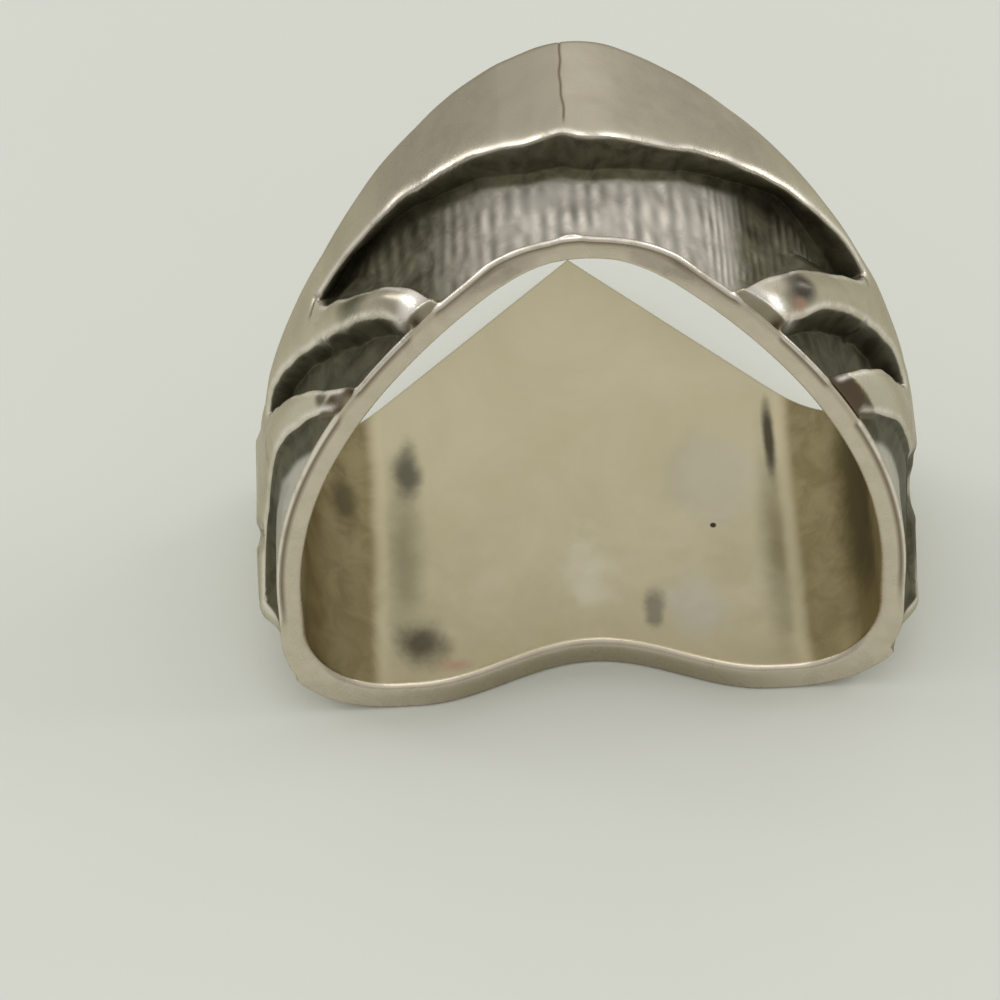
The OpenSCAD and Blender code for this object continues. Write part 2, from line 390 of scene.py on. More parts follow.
def seam_and_creases(y, length):
    """Masks of the solder seam over the top, and of the crease at each end of the top cut-out."""
    seam_line = seam_at + 0.03 * np.sin(2.1 * y) + 0.015 * np.sin(6.3 * y + 1)
    seam = ridge(length, seam_line, 0.04) * smoothstep(y, 6.25, 6.7)
    creased = np.maximum.reduce([ridge(depth_inside(y, length, line), 0, 0.09) for line in crease_lines])
    return seam, creased


def raised_level(y, length, height, back, cut, fine_lines):
    """Radius of the raised layer. It is crowned where the cut-outs leave narrow tongues, and nearly flat
    further back. The last tips stand out at the plate's near corners."""
    eased = blend_run * np.log(sum(np.exp(np.clip(cut[name], -3, 0.5) / blend_run) for name in walled))
    crown = flat_crown + tongue_crown * (1 - smoothstep(y, 4.6, 6.0)) * smoothstep(height, 1.5, 3)
    raised = raised_r + fuller - crown * np.exp(np.minimum(eased, 0) / (0.12 + 0.9 * crown))
    raised = raised + layer_shake * bumps(21, y, length, (2.4, 7)) * smoothstep(height, -1, 0.5)
    raised = band_r + (raised - band_r) * tongue_rise(height, back)
    seam, creased = fine_lines
    raised = raised - seam_depth * seam - crease_depth * creased
    corner = np.where(side < 0, left_corner, right_corner)
    corner = corner * smoothstep(height, 1.1, 0.5) * smoothstep(height, -1.1, 0.2)
    return raised + corner * (1 - smoothstep(back, 0.7, 1.8))


def sunk_level(y, length, back, behind_lip):
    """Radius of the floor of the upper cut-outs. The lip along the near rim is as high as the band, with a
    nib of solder at its middle, and the floor comes up a little at the far ends of the top cut-out."""
    shallower = 0.25 * smoothstep(np.abs(length), 6, 10) * smoothstep(y, 3.2, 4.6)
    sunk = band_r + (floor_r + shallower - band_r) * behind_lip
    sunk = sunk + floor_shake * bumps(33, y, length, (0.7, 2)) * behind_lip
    return sunk + nib_height * ridge(length, seam_at, 0.45) * (1 - smoothstep(back, 0.25, 0.7))


def tool_ribs(y, length, cut):
    """Soft ribs left by the maker's tool on the floor of the top cut-out, finer towards the right."""
    pace = length / rib_pitch + 0.6 * smoothstep(length, 4.4, 6.5) * (length - 4.4) / rib_pitch
    ribs = np.sin(2 * np.pi * pace + 1.3 * bumps(41, 0.35 * y, length, (2.5, 6)))
    return ribs * (0.55 + 0.45 * bumps(43, y, length, (1.0, 2.5))) * smoothstep(cut["top"], 0.35, 0.6)


def lean_in(y, length, cut, far_line):
    """Y of every point once the wall under the top edge leans in, where there is metal enough for that."""
    room = far_line - (y + np.maximum(cut["top"], 0)) - 0.5
    lean = smoothstep(cut["top"], 1.6, 0.1) * smoothstep(cut["top"], -0.02, 0.12)
    return y + np.clip(room, 0, follow(np.abs(length), undercut_by_length)) * lean * smoothstep(y, 4.2, 5.2)


# %% Masks for the finish
def dark_masks(height, cut, step):
    """The dark of the cut-outs, of the right hollow, and of the thin edge beside the right low cut-out. The
    second result is that edge alone."""
    # In the low cut-outs this dark is patina and also painted shade on their walls.
    dark = np.maximum.reduce([smoothstep(cut[name], -0.07, 0.0) for name in ("top", "second", "low")])
    dark = np.maximum(dark, 0.5 * step["hollow"] * smoothstep(side * height, 2, 3))
    dark_edge = smoothstep(side * height, 1.8, 2.6) * smoothstep(height, 8.5, 4.0)
    dark_edge = dark_edge * smoothstep(cut["low"], -3.0, -1.4)
    return np.maximum(dark, dark_edge), dark_edge


def pale_low_floor(y, height, cut):
    """The part of each low cut-out beside the near rim, which the finish paints a paler grey than the rest."""
    floor_y = follow(height, pale_floor_edge)
    near_floor = smoothstep(cut["low"] - np.where(side > 0, 0.5, 0), 0.1, 0.4) * smoothstep(height, 3.5, 6.5)
    return near_floor * smoothstep(y, floor_y + 0.12, floor_y - 0.18)


def finish_masks(y, height, back, cut, step, inside_cut, ribs, fine_lines):
    """Every mask that the outside's finish reads."""
    nearest = nearest_cut(cut)
    long_tongue, third, rise_run = tongue_ends(height)
    beside_rim = 1 - smoothstep(back, lip - 0.05, lip + 0.02)
    dark, dark_edge = dark_masks(height, cut, step)
    seam, creased = fine_lines
    # The crest along each cut-out's edge is worn bright and also painted brighter as a highlight, and the ends
    # of the long tongues get a painted highlight.
    crest = ridge(nearest, -0.15, 0.075) * smoothstep(back, 0.25, 0.5) * (1 - dark_edge)
    painted_tip_highlight = long_tongue * (1 - third) * (1 - inside_cut) * ridge(back, 0.62, 0.22)
    painted_tip_highlight = painted_tip_highlight * smoothstep(nearest, -0.9, -0.1)
    # The ends of the tongues, which the finish paints a darker olive as shade.
    end_wall = (1 - smoothstep(back, rise_run - 0.1, rise_run + 0.04)) * (1 - inside_cut) * long_tongue
    # Dark brown painted on the tongue ends beside the second cut-outs and on the ends of the third tongues.
    dark_brown_ends = np.clip(ridge(cut["second"], -0.15, 0.22) * (1 - third) + third, 0, 1)
    return dict(
        recess=np.maximum(dark, 0.8 * dark_brown_ends * end_wall) * (1 - beside_rim),
        wear_and_highlight=np.maximum(crest, 0.8 * painted_tip_highlight),
        top=step["top"] * (1 - beside_rim),
        rib=0.5 + 0.5 * ribs,
        rim=beside_rim * inside_cut,
        tip=end_wall,
        low=pale_low_floor(y, height, cut),
        dark_brown_ends=end_wall * dark_brown_ends,
        seam=np.maximum(seam, 0.7 * creased * (1 - dark)),
        wall=smoothstep(cut["top"], 0.6, 0.35) * smoothstep(y, 4.6, 5.4))


# %% The outside in one
def outside(part, first_r, last_r, near_round):
    """Radius and Y of the outside, its masks, and the distance to the nearest cut. Part runs from the near
    rim, at the distance first_r from the middle, to the far rim, at last_r."""
    near_line, far_line = near_y(*across_and_up(first_r)), far_y(*across_and_up(last_r))
    start, end = near_line + near_round, far_line - far_round
    y = start + (end - start) * part
    length = np.broadcast_to(turn, y.shape)
    height = layer_height + np.zeros_like(y)
    back = y - near_line

    cut = cut_depths(y, length)
    step, inside_cut = cut_steps(cut, height)
    fine_lines = seam_and_creases(y, length)
    raised = raised_level(y, length, height, back, cut, fine_lines)
    behind_lip = smoothstep(back, lip - 0.06, lip + 0.08)
    sunk = sunk_level(y, length, back, behind_lip)
    floors = (sunk, "top"), (sunk, "second"), (band_r, "low"), (band_r, "foot"), (shallow_r, "hollow")
    level = raised
    for floor, name in floors:
        level = np.minimum(level, raised + (floor - raised) * step[name])
    ribs = tool_ribs(y, length, cut)
    level = level + rib_height * ribs * behind_lip

    masks = finish_masks(y, height, back, cut, step, inside_cut, ribs, fine_lines)
    return level, lean_in(y, length, cut, far_line), masks, nearest_cut(cut)


# %% Rows of the grid
row_count, trial_rows, smoothing_passes = 108, 320, 10
edge_weight, rim_weight = 5.5, 2.0
even = np.linspace(0, 1, trial_rows)[None, :] + np.zeros_like(turn)
level, _, _, nearest = outside(even, raised_r, raised_r, 0.1)
# The rim is rounder beside a cut-out than where a tongue comes down to it, and roundest under the plate.
open_rim = smoothstep(nearest[:, 1:2], -0.15, 0.1) * smoothstep(layer_height, 2, 4)
near_round = 0.05 + 0.05 * open_rim + 0.1 * smoothstep(layer_height, 1, -1)
# Rows lie closer at the edges of the cut-outs and at the near rim.
weight = 1 + edge_weight * ridge(nearest, 0.0, 0.17) + rim_weight * (1 - smoothstep(even, 0.03, 0.07))
gathered = np.cumsum(weight, axis=1)
gathered = (gathered - gathered[:, :1]) / (gathered[:, -1:] - gathered[:, :1])
share = np.linspace(0, 1, row_count)
part = np.stack([np.interp(share, column, even[0]) for column in gathered])
# Each row runs smoothly from column to column, also past the end of a cut-out.
for _ in range(smoothing_passes):
    part = (np.roll(part, 1, axis=0) + 2 * part + np.roll(part, -1, axis=0)) / 4
for _ in range(2):
    level, y, masks, _ = outside(part, level[:, :1], level[:, -1:], near_round)
gaps = np.diff(y, axis=1)
print("rows:", row_count, "of", round(gaps.min(), 3), "to", round(gaps.max(), 3), "mm")


# %% The ring as one closed grid
def rim(outer_r, rim_y, away, outer_round, inner_round, groove=(), steps=4):
    """Rows over a rim from the outside to the inside: two quarter rounds with a flat face between them. The
    face may have a fine groove, given as places below the outer round and depths."""
    bend = np.linspace(0, np.pi / 2, steps + 1)[1:-1]
    down, back = 1 - np.cos(bend), 1 - np.sin(bend)
    flat = np.zeros_like(outer_r)
    rows_r = np.hstack([outer_r - outer_round * down, outer_r - outer_round]
                       + [outer_r - outer_round - place for place, _ in groove]
                       + [hole_r + inner_round, hole_r + inner_round * down[::-1]])
    backs = np.hstack([outer_round * back + flat, flat] + [depth + flat for _, depth in groove]
                      + [flat, inner_round * back[::-1] + flat])
    return rows_r, rim_y(*across_and_up(rows_r)) + away * backs


inner_count = 8
inner_round = 0.14 + 0.16 * smoothstep(across_and_up(hole_r)[1], 8, 2)
groove_depth = 0.05 * (0.3 + 0.7 * open_rim) * smoothstep(layer_height, 2, 5)
groove = (0.07, groove_depth), (0.22, 0)
far_r, far_rows = rim(level[:, -1:], far_y, -1, far_round, far_round + np.zeros_like(turn))
near_r, near_rows = rim(level[:, :1], near_y, 1, near_round, inner_round, groove)
start, end = far_y(*across_and_up(hole_r)) - far_round, near_y(*across_and_up(hole_r)) + inner_round
inner_y = start + (end - start) * np.linspace(0, 1, inner_count)[None, :]
all_r = np.hstack([level, far_r, hole_r + np.zeros_like(inner_y), near_r[:, ::-1]])
all_y = np.hstack([y, far_rows, inner_y, near_rows[:, ::-1]])
all_x, all_height = across_and_up(all_r)
all_z = np.maximum(all_height + plate_thick, 0)
places = np.stack([all_x, all_y - plate_length / 2, all_z], axis=-1) * MM

total_count = all_r.shape[1]
inside_end = row_count + far_r.shape[1] + inner_count
masks = {name: np.hstack([m, np.zeros((column_count, total_count - row_count))]) for name, m in masks.items()}
masks["rim"][:, inside_end:] = 1
# The last rows run up the near rim's face. The groove is dark, and the round above it is worn bright and
# painted brighter still as a highlight.
groove_dark, groove_edge_dark = 19, 8
rim_wear_and_highlight = 0.9 * open_rim
masks["seam"][:, -5:-4] = groove_dark * groove_depth
masks["seam"][:, -4:-3] = groove_edge_dark * groove_depth
masks["wear_and_highlight"][:, -3:] = rim_wear_and_highlight
masks["wear_and_highlight"][:, :2] = np.maximum(masks["wear_and_highlight"][:, :2], rim_wear_and_highlight)
row = np.arange(total_count)
inside_rows = (row >= row_count + far_r.shape[1] - 1) & (row < inside_end)


def closed_grid(name, places, masks, second_slot, materials):
    """A closed solid from a grid of places whose rows and columns both close on themselves. second_slot marks
    the rows that have the second material."""
    columns, rows = places.shape[:2]
    index = np.arange(columns * rows).reshape(columns, rows)
    after, beside = np.roll(index, -1, axis=0), np.roll(index, -1, axis=1)
    quads = np.stack([index, after, np.roll(after, -1, axis=1), beside], axis=-1).reshape(-1, 4)
    flat = places.reshape(-1, 3)
    a, b, c, d = flat[quads].transpose(1, 0, 2)
    volume = np.einsum("ij,ij->i", a, np.cross(b, c) + np.cross(c, d)).sum() / 6
    if volume < 0:
        quads = quads[:, ::-1]
    mesh = bpy.data.meshes.new(name)
    mesh.from_pydata(flat.tolist(), [], quads.tolist())
    for mask_name, mask in masks.items():
        values = mesh.attributes.new(mask_name, "FLOAT", "POINT").data
        values.foreach_set("value", mask.astype(np.float32).ravel())
    slots = np.broadcast_to(second_slot.astype(np.int32), (columns, rows)).ravel()
    mesh.polygons.foreach_set("material_index", slots)
    mesh.polygons.foreach_set("use_smooth", np.ones(len(quads), bool))
    for material in materials:
        mesh.materials.append(material)
    mesh.validate()
    piece = bpy.data.objects.new(name, mesh)
    bpy.context.scene.collection.objects.link(piece)
    print(name, "faces:", len(mesh.polygons), "volume in mm3:", round(abs(volume) / MM**3, 1))
    return piece


# %% [markdown]
# ## Finishes
# There are two finishes, worn silver outside and duller silver in the hole. Both mix plain tones by clouds of
# noise and by spots placed on the surface, and the outside also by the masks kept with the mesh. Some of the
# spots and masks paint highlights, reflections and shade.

# %% Node helpers
def fill(tree, socket, value):
    """Gives a socket a value, or links it to another socket."""
    if isinstance(value, bpy.types.NodeSocket):
        tree.links.new(value, socket)
    else:
        socket.default_value = value


def node(tree, kind, inputs=(), **settings):
    """Adds a node, sets its settings, and fills its inputs by name or number."""
    made = tree.nodes.new(kind)
    for key, value in settings.items():
        setattr(made, key, value)
    for key, value in dict(inputs).items():
        fill(tree, made.inputs[key], value)
    return made


def mix_colour(tree, mask, first, second):
    """Mixes two colours by a mask."""
    made = node(tree, "ShaderNodeMix", {0: mask}, data_type="RGBA")
    for key, colour in ((6, first), (7, second)):
        fill(tree, made.inputs[key], (*colour, 1) if isinstance(colour, tuple) else colour)
    return made.outputs[2]


def maths(tree, operation, *values):
    """One Math node."""
    return node(tree, "ShaderNodeMath", dict(enumerate(values)), operation=operation).outputs[0]


def times(tree, first, second):
    """The product of two values."""
    return maths(tree, "MULTIPLY", first, second)


def mask_range(tree, value, low, high, to_low=0.0, to_high=1.0):
    """Stretches a value between low and high to a smooth mask."""
    return node(tree, "ShaderNodeMapRange", {"Value": value, 1: low, 2: high, 3: to_low, 4: to_high},
                interpolation_type="SMOOTHSTEP").outputs[0]


def noise(tree, place, scale, detail, roughness=0.6, distortion=0.0):
    """Noise over the surface."""
    inputs = {"Vector": place, "Scale": scale, "Detail": detail, "Roughness": roughness}
    inputs["Distortion"] = distortion
    return node(tree, "ShaderNodeTexNoise", inputs).outputs[0]


def new_group(name, inputs, output):
    """An empty shader node group with one output: its tree, its inputs' sockets and its output node."""
    tree = bpy.data.node_groups.new(name, "ShaderNodeTree")
    for socket_name, kind, value in inputs:
        socket = tree.interface.new_socket(socket_name, in_out="INPUT", socket_type=kind)
        if value is not None:
            socket.default_value = value
    tree.interface.new_socket(output, in_out="OUTPUT", socket_type="NodeSocketFloat")
    given = tree.nodes.new("NodeGroupInput").outputs
    return tree, given, tree.nodes.new("NodeGroupOutput")


def placed(tree, group, **inputs):
    """The output of a group placed in a material, with its inputs filled by name."""
    made = tree.nodes.new("ShaderNodeGroup")
    made.node_tree = group
    for key, value in inputs.items():
        fill(tree, made.inputs[key], value)
    return made.outputs[0]


# %% Shared groups
def scratch_group():
    """Fine hairlines in three directions, as heights."""
    tree, given, put = new_group("fine_scratches", [("Place", "NodeSocketVector", None)], "Height")
    # Each direction of lines: how it is turned, and how fine it is along the three axes.
    directions = [((0.3, 0.1, 0.5), (1100, 15000, 15000)), ((1.1, 0.7, 1.9), (900, 17000, 17000)),
                  ((0.2, 0.4, 2.7), (1300, 13000, 13000))]
    lines = 0.0
    for turned, fineness in directions:
        mapped = {"Vector": given["Place"], "Rotation": turned, "Scale": fineness}
        laid = node(tree, "ShaderNodeMapping", mapped).outputs[0]
        streak = mask_range(tree, noise(tree, laid, 1.0, 2.0), 0.60, 0.74)
        lines = maths(tree, "MAXIMUM", lines, streak)
    tree.links.new(lines, put.inputs[0])
    return tree


def tarnish_group():
    """Cloudy patches as one mask between 0 and 1."""
    tree, given, put = new_group(
        "tarnish_clouds", [("Place", "NodeSocketVector", None), ("Scale", "NodeSocketFloat", 300.0)], "Mask")
    wide = noise(tree, given["Place"], given["Scale"], 6.0, 0.62, 0.6)
    tree.links.new(mask_range(tree, wide, 0.33, 0.68), put.inputs[0])
    return tree


def spot_group():
    """A patch of a given size about a given point, with a ragged edge, for stains and painted light."""
    tree, given, put = new_group("stain_and_light_spot", [
        ("Place", "NodeSocketVector", None), ("Centre", "NodeSocketVector", (0, 0, 0)),
        ("Size", "NodeSocketVector", (1, 1, 1)), ("Ragged", "NodeSocketFloat", 0.3),
        ("Soft", "NodeSocketFloat", 0.6)], "Mask")

    def vector(operation, *values):
        return node(tree, "ShaderNodeVectorMath", dict(enumerate(values)), operation=operation).outputs

    off = vector("SUBTRACT", given["Place"], given["Centre"])[0]
    far = vector("LENGTH", vector("DIVIDE", off, given["Size"])[0])["Value"]
    shake = maths(tree, "SUBTRACT", noise(tree, given["Place"], 700.0, 5.0), 0.5)
    shake = times(tree, times(tree, shake, given["Ragged"]), 2.0)
    inner = maths(tree, "SUBTRACT", 1.0, given["Soft"])
    mask = mask_range(tree, maths(tree, "ADD", far, shake), inner, 1.0, 1.0, 0.0)
    tree.links.new(mask, put.inputs[0])
    return tree


scratches, clouds, stain_and_light_spot = scratch_group(), tarnish_group(), spot_group()


# %% What both finishes start from
def new_material(name):
    """A material with only a Principled BSDF and its output, and the object's own coordinates."""
    material = bpy.data.materials.new(name)
    material.use_nodes = True
    tree = material.node_tree
    tree.nodes.clear()
    shader = tree.nodes.new("ShaderNodeBsdfPrincipled")
    output = tree.nodes.new("ShaderNodeOutputMaterial")
    tree.links.new(shader.outputs[0], output.inputs[0])
    place = tree.nodes.new("ShaderNodeTexCoord").outputs["Object"]
    return material, tree, shader, place


def attribute(tree, name):
    """One of the masks kept with the mesh."""
    return node(tree, "ShaderNodeAttribute", attribute_name=name).outputs["Fac"]


def spot(tree, place, centre, size, ragged, soft):
    """The mask of one patch, placed in millimetres: across, along the finger from the middle, and up."""
    in_metres = {"Centre": [v * MM for v in centre], "Size": [v * MM for v in size]}
    return placed(tree, stain_and_light_spot, Place=place, Ragged=ragged, Soft=soft, **in_metres)


def add_bump(tree, shader, height, strength):
    """Gives the surface a fine relief."""
    bump = node(tree, "ShaderNodeBump", {"Strength": strength, "Distance": 0.03 * MM, "Height": height})
    tree.links.new(bump.outputs[0], shader.inputs["Normal"])


# %% Tones of the outside
# Where there are two tones, clouds lead from the first to the second.
polish_tones = (0.52, 0.475, 0.375), (0.63, 0.58, 0.465)
# The pink tone is darker: painted shade left of the seam.
green_polish, shaded_pink_polish = (0.70, 0.67, 0.55), (0.39, 0.35, 0.28)
patina_tones = (0.046, 0.042, 0.022), (0.115, 0.108, 0.066)
streak_tone, low_tone = (0.36, 0.335, 0.25), (0.53, 0.52, 0.455)
rubbed_tones = (0.33, 0.31, 0.275), (0.84, 0.79, 0.715)
# The brown rim tone is painted shade on the near rim's face under the wave.
rim_tones, shaded_brown_rim = ((0.60, 0.535, 0.425), (0.68, 0.605, 0.49)), (0.30, 0.255, 0.16)
# The olive of the tongue ends is painted shade on their end faces.
shaded_end_tone, dark_brown_end_tone, seam_tone = (0.37, 0.33, 0.22), (0.09, 0.06, 0.035), (0.14, 0.095, 0.06)
# Edges worn bright and painted brighter as highlights, and the tone of painted highlights.
worn_and_highlight_tone, painted_highlight_tone = (0.88, 0.83, 0.76), (1.0, 0.98, 0.92)
# Marks on the tongues, each with its tone, centre and size: painted dark reflections, a reddish stain, a dark
# mark and painted highlights.
tongue_stains_and_painted_light = [
    # Painted dark reflections on the first tongues.
    ((0.10, 0.105, 0.08), (-7.45, -5.2, 16.95), (1.3, 1.25, 1.2)),
    ((0.075, 0.07, 0.06), (7.0, -6.4, 17.65), (1.1, 0.85, 0.95)),
    # A reddish stain.
    ((0.52, 0.34, 0.25), (6.95, -6.95, 17.4), (0.8, 0.35, 0.45)),
    # A dark mark.
    ((0.12, 0.115, 0.09), (-8.6, -7.5, 14.55), (0.45, 0.5, 0.5)),
    # Painted highlights on the ends of the tongues.
    (painted_highlight_tone, (-5.45, -7.1, 18.65), (1.0, 0.75, 0.9)),
    (painted_highlight_tone, (5.45, -7.35, 18.6), (0.8, 0.55, 0.6)),
    (painted_highlight_tone, (6.15, -7.35, 18.0), (0.75, 0.45, 0.6)),
    (painted_highlight_tone, (-7.9, -8.1, 15.4), (0.45, 0.45, 0.45)),
    (painted_highlight_tone, (8.4, -7.9, 14.8), (0.45, 0.4, 0.45))]


# %% Worn silver, dark in the cut-outs
def polished_tone(tree, place, x, z, cloud):
    """Grey polish, a little greener low down, and darker and pinker left of the seam as painted shade. Over it
    lie painted dark reflections, a reddish stain, a dark mark and painted highlights.
    """
    tone = mix_colour(tree, cloud, *polish_tones)
    tone = mix_colour(tree, mask_range(tree, z, 17 * MM, 10 * MM), tone, green_polish)
    # Painted shade: high on the arch left of the seam the polish is darker and pinker, as on the shaded side of
    # the fold.
    left_of_seam = mask_range(tree, x, -0.2 * MM, -0.6 * MM)
    shaded_pinker = times(tree, left_of_seam, mask_range(tree, z, 15 * MM, 19 * MM, 0.0, 0.5))
    tone = mix_colour(tree, shaded_pinker, tone, shaded_pink_polish)
    # Lays on the stain, the dark mark, the painted dark reflections and the painted highlights.
    for mark, centre, size in tongue_stains_and_painted_light:
        mask = times(tree, spot(tree, place, centre, size, 0.25, 0.75), 0.9)
        tone = mix_colour(tree, mask, tone, mark)
    return tone


def patina_tone(tree, x, cloud, fine_cloud, mask):
    """Dark patina. The floor of the top cut-out has worn to a mauve grey, mostly on the crests of its ribs. In
    the low cut-outs the dark is also painted shade on their walls, and the part beside the near rim is paler."""
    open_floor = times(tree, mask["top"], maths(tree, "SUBTRACT", 1.0, mask["wall"]))
    streak = times(tree, open_floor, times(tree, mask["rib"], cloud))
    dark = mix_colour(tree, streak, mix_colour(tree, fine_cloud, *patina_tones), streak_tone)
    frayed = maths(tree, "ADD", x, times(tree, fine_cloud, 0.3 * MM))
    from_left, to_right = (-5.6 * MM, -1.0 * MM), (4.7 * MM, 5.6 * MM, 1.0, 0.0)
    middle = times(tree, mask_range(tree, frayed, *from_left), mask_range(tree, frayed, *to_right))
    crests = times(tree, mask["rib"], mask_range(tree, fine_cloud, 0.0, 0.8, 0.6, 1.0))
    dark = mix_colour(tree, times(tree, open_floor, middle), dark, mix_colour(tree, crests, *rubbed_tones))
    # Beside the near rim the low cut-outs' floor is left a paler grey; the rest is dark patina with painted
    # shade.
    pale_floor_mix = times(tree, mask["low"], mask_range(tree, cloud, 0.1, 0.9, 0.7, 1.0))
    return mix_colour(tree, pale_floor_mix, dark, low_tone)


def rim_tone(tree, x, z, fine_cloud):
    """The near rim's face, painted browner under the wave of the plate as the shade on that part of the rim."""
    under_wave = times(tree, mask_range(tree, z, 1.3 * MM, 0.7 * MM),
                       mask_range(tree, maths(tree, "ABSOLUTE", x), 4.0 * MM, 7.5 * MM, 0.6, 0.0))
    return mix_colour(tree, under_wave, mix_colour(tree, fine_cloud, *rim_tones), shaded_brown_rim)


def outside_silver():
    """Worn silver outside: grey polish, edges worn bright and painted brighter as highlights, dark cut-outs
    with painted shade on the walls of the low ones, and a worn floor in the top one.
    """
    material, tree, shader, place = new_material("worn_silver")
    mask = {name: attribute(tree, name)
            for name in ("recess", "wear_and_highlight", "rib", "top", "rim", "tip", "dark_brown_ends", "seam", "wall", "low")}
    cloud, fine_cloud = (placed(tree, clouds, Place=place, Scale=scale) for scale in (260.0, 1100.0))
    x, _, z = node(tree, "ShaderNodeSeparateXYZ", {0: place}).outputs

    frayed = maths(tree, "ADD", mask["recess"], times(tree, maths(tree, "SUBTRACT", fine_cloud, 0.5), 0.25))
    darkness = mask_range(tree, frayed, 0.2, 0.8)
    colour = mix_colour(tree, darkness, polished_tone(tree, place, x, z, cloud),
                        patina_tone(tree, x, cloud, fine_cloud, mask))
    # Edges worn bright and painted brighter as highlights, and painted highlights on the ends of the long
    # tongues.
    bright = times(tree, mask["wear_and_highlight"], mask_range(tree, fine_cloud, 0.0, 0.6, 0.45, 1.0))
    for cover, tone in (
            (times(tree, mask["rim"], 0.9), rim_tone(tree, x, z, fine_cloud)),
            (times(tree, mask["tip"], 0.85), shaded_end_tone), (times(tree, mask["dark_brown_ends"], 0.95), dark_brown_end_tone),
            (bright, worn_and_highlight_tone), (times(tree, mask["seam"], 0.85), seam_tone)):
        colour = mix_colour(tree, cover, colour, tone)
    tree.links.new(colour, shader.inputs["Base Color"])

    # The patina is duller than the metal, so it also scatters light.
    tree.links.new(mask_range(tree, darkness, 0.0, 1.0, 1.0, 0.45), shader.inputs["Metallic"])
    shader.inputs["Specular Tint"].default_value = (0.62, 0.58, 0.50, 1)
    rough = mask_range(tree, darkness, 0.0, 1.0, 0.25, 0.42)
    tree.links.new(maths(tree, "ADD", rough, times(tree, fine_cloud, 0.07)), shader.inputs["Roughness"])
    hairs = times(tree, placed(tree, scratches, Place=place), -0.35)
    add_bump(tree, shader, maths(tree, "ADD", hairs, times(tree, fine_cloud, 0.25)), 0.12)
    return material


# %% Tones of the hole
floor_tones = (0.565, 0.51, 0.345), (0.605, 0.55, 0.395)
# The sides are darker, partly tarnish and partly painted dark reflection.
side_tarnish_and_reflection_tones = (0.245, 0.20, 0.10), (0.325, 0.275, 0.15)
# The bright band is a painted reflection along each corner of the floor.
corner_reflection_tone = (0.68, 0.61, 0.41)
# Stains and painted dark reflections, each laid over those before it: tone, strength, centre, size, ragged and
# soft.
stains_and_reflections = [
    ((0.70, 0.66, 0.53), 0.7, (0.1, -5.0, 1.2), (1.3, 2.6, 4), 0.9, 0.9),
    ((0.58, 0.56, 0.48), 0.7, (3.6, -7.0, 1.2), (1.5, 1.8, 4), 0.9, 0.8),
    # Painted dark reflections along the right corner of the floor.
    ((0.25, 0.215, 0.12), 0.85, (6.75, -4.0, 1.2), (0.95, 6.6, 4), 0.25, 1.0),
    ((0.07, 0.06, 0.04), 0.95, (6.8, 0.5, 1.2), (0.3, 2.3, 4), 0.25, 0.7),
    # Stains.
    ((0.38, 0.355, 0.28), 0.4, (4.2, -0.9, 1.2), (1.7, 2.5, 4), 0.3, 0.7),
    ((0.565, 0.52, 0.40), 0.95, (4.75, -1.0, 1.2), (1.85, 2.8, 4), 0.3, 0.65),
    # Painted dark reflections along the left corner of the floor.
    ((0.28, 0.25, 0.155), 0.8, (-6.4, -3.6, 1.2), (1.0, 6.2, 4), 0.3, 1.0),
    ((0.12, 0.115, 0.085), 0.9, (-6.2, -0.2, 1.2), (0.65, 2.0, 4), 0.5, 0.9),
    ((0.12, 0.105, 0.075), 0.95, (-5.9, -7.8, 1.2), (1.5, 1.35, 4), 0.5, 0.9),
    # Stains.
    ((0.50, 0.28, 0.20), 0.6, (-4.7, -8.75, 1.2), (0.9, 0.4, 4), 0.9, 0.9),
    ((0.23, 0.215, 0.17), 0.8, (2.25, -6.9, 1.2), (0.5, 1.5, 4), 1.0, 0.85),
    # Darker patches on the side walls.
    ((0.11, 0.09, 0.05), 0.85, (-8.5, -1.7, 1.8), (0.7, 2.0, 1.4), 0.7, 0.85),
    ((0.10, 0.08, 0.04), 0.85, (9.5, -3.5, 3.2), (1.1, 6.0, 2.9), 0.5, 0.7),
    ((0.03, 0.025, 0.02), 0.95, (4.53, -3.25, 1.2), (0.13, 0.13, 4), 0.2, 0.4)]


